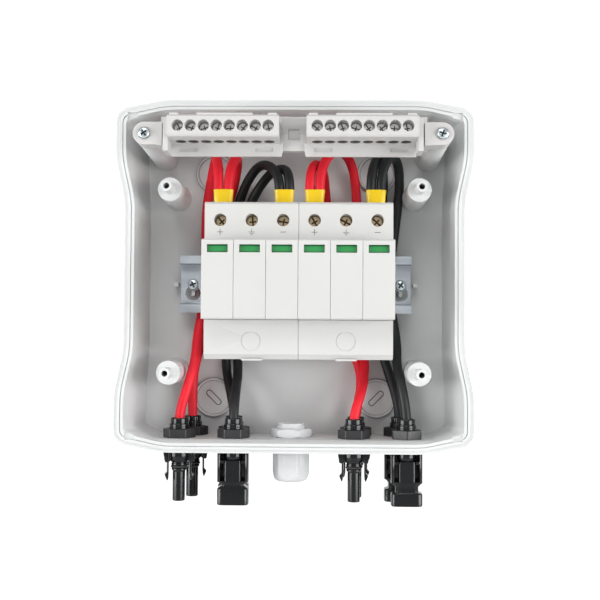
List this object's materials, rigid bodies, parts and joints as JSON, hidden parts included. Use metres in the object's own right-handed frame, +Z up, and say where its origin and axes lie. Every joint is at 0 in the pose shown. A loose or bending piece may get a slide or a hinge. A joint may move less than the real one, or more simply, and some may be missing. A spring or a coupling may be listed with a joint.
{
  "type": "solar combiner box",
  "caption": "Open waisted enclosure with surge protectors on a rail, terminal blocks, looped solar leads, panel connectors and a cable gland.",
  "frame": {"origin": "middle of the back's outer face, on the wall", "axes": "+X to the right seen from the front, +Y into the wall, +Z up"},
  "size_m": [0.21, 0.095, 0.2385],
  "materials": {
    "enclosure_plastic": "satin",
    "rail_zinc": "satin",
    "screw_steel": "polished",
    "white_plastic": "satin",
    "device_plastic": "satin",
    "flag_green": "satin",
    "brass_metal": "satin",
    "clamp_steel": "satin",
    "screw_bronze": "satin",
    "connector_black": "gloss",
    "nut_black": "matte",
    "seal_rubber": "matte",
    "lead_red": "satin",
    "lead_black": "satin",
    "ferrule_yellow": "satin",
    "gland_plastic": "satin"
  },
  "bodies": {
    "enclosure": {"enclosure_base": "enclosure_plastic", "din_rail": "rail_zinc", "rail_screws": "screw_steel", "terminal_carrier": "white_plastic", "carrier_screws": "screw_steel", "terminal_housing_left": "white_plastic", "terminal_housing_right": "white_plastic", "terminal_bar_left": "brass_metal", "terminal_bar_right": "brass_metal", "terminal_bar_screws": "screw_steel", "spd_base_left": "device_plastic", "spd_base_right": "device_plastic", "spd_clamps": "clamp_steel", "spd_screws": "screw_bronze", "spd_contacts": "brass_metal", "connector_nuts": "nut_black", "connector_gaskets": "seal_rubber", "connector_contacts": "brass_metal", "plug_seal_rings": "seal_rubber", "gland_body": "gland_plastic", "gland_locknut": "gland_plastic", "gland_seal": "seal_rubber", "wire_ferrules": "ferrule_yellow", "plug_connector_1": "connector_black", "socket_connector_1": "connector_black", "lead_red_1": "lead_red", "lead_black_1": "lead_black", "plug_connector_2": "connector_black", "socket_connector_2": "connector_black", "lead_red_2": "lead_red", "lead_black_2": "lead_black", "plug_connector_3": "connector_black", "socket_connector_3": "connector_black", "lead_red_3": "lead_red", "lead_black_3": "lead_black", "plug_connector_4": "connector_black", "socket_connector_4": "connector_black", "lead_red_4": "lead_red", "lead_black_4": "lead_black"},
    "gland_cap_body": {"gland_cap": "gland_plastic"},
    "latch_left": {"rail_latch_left": "device_plastic"},
    "latch_right": {"rail_latch_right": "device_plastic"},
    "module_1": {"surge_module_1": "device_plastic", "module_blades_1": "brass_metal"},
    "flag_1": {"status_flag_1": "flag_green"},
    "module_2": {"surge_module_2": "device_plastic", "module_blades_2": "brass_metal"},
    "flag_2": {"status_flag_2": "flag_green"},
    "module_3": {"surge_module_3": "device_plastic", "module_blades_3": "brass_metal"},
    "flag_3": {"status_flag_3": "flag_green"},
    "module_4": {"surge_module_4": "device_plastic", "module_blades_4": "brass_metal"},
    "flag_4": {"status_flag_4": "flag_green"},
    "module_5": {"surge_module_5": "device_plastic", "module_blades_5": "brass_metal"},
    "flag_5": {"status_flag_5": "flag_green"},
    "module_6": {"surge_module_6": "device_plastic", "module_blades_6": "brass_metal"},
    "flag_6": {"status_flag_6": "flag_green"}
  },
  "joints": [
    {"name": "module_1_pull", "type": "slide", "parent": "enclosure", "child": "module_1", "axis": [0, -1, 0], "range_m": [0, 0.045]},
    {"name": "module_2_pull", "type": "slide", "parent": "enclosure", "child": "module_2", "axis": [0, -1, 0], "range_m": [0, 0.045]},
    {"name": "module_3_pull", "type": "slide", "parent": "enclosure", "child": "module_3", "axis": [0, -1, 0], "range_m": [0, 0.045]},
    {"name": "module_4_pull", "type": "slide", "parent": "enclosure", "child": "module_4", "axis": [0, -1, 0], "range_m": [0, 0.045]},
    {"name": "module_5_pull", "type": "slide", "parent": "enclosure", "child": "module_5", "axis": [0, -1, 0], "range_m": [0, 0.045]},
    {"name": "module_6_pull", "type": "slide", "parent": "enclosure", "child": "module_6", "axis": [0, -1, 0], "range_m": [0, 0.045]},
    {"name": "flag_1_drop", "type": "slide", "parent": "module_1", "child": "flag_1", "axis": [0, 0, -1], "range_m": [0, 0.005]},
    {"name": "flag_2_drop", "type": "slide", "parent": "module_2", "child": "flag_2", "axis": [0, 0, -1], "range_m": [0, 0.005]},
    {"name": "flag_3_drop", "type": "slide", "parent": "module_3", "child": "flag_3", "axis": [0, 0, -1], "range_m": [0, 0.005]},
    {"name": "flag_4_drop", "type": "slide", "parent": "module_4", "child": "flag_4", "axis": [0, 0, -1], "range_m": [0, 0.005]},
    {"name": "flag_5_drop", "type": "slide", "parent": "module_5", "child": "flag_5", "axis": [0, 0, -1], "range_m": [0, 0.005]},
    {"name": "flag_6_drop", "type": "slide", "parent": "module_6", "child": "flag_6", "axis": [0, 0, -1], "range_m": [0, 0.005]},
    {"name": "latch_left_pull", "type": "slide", "parent": "enclosure", "child": "latch_left", "axis": [0, 0, -1], "range_m": [0, 0.004], "stiffness_N_per_m": 500, "springref_m": -0.002},
    {"name": "latch_right_pull", "type": "slide", "parent": "enclosure", "child": "latch_right", "axis": [0, 0, -1], "range_m": [0, 0.004], "stiffness_N_per_m": 500, "springref_m": -0.002},
    {"name": "gland_cap_turn", "type": "hinge", "parent": "enclosure", "child": "gland_cap_body", "pos_m": [-0.0017, -0.024, -0.105], "axis": [0, 0, -1], "range_deg": [0, 360]}
  ]
}
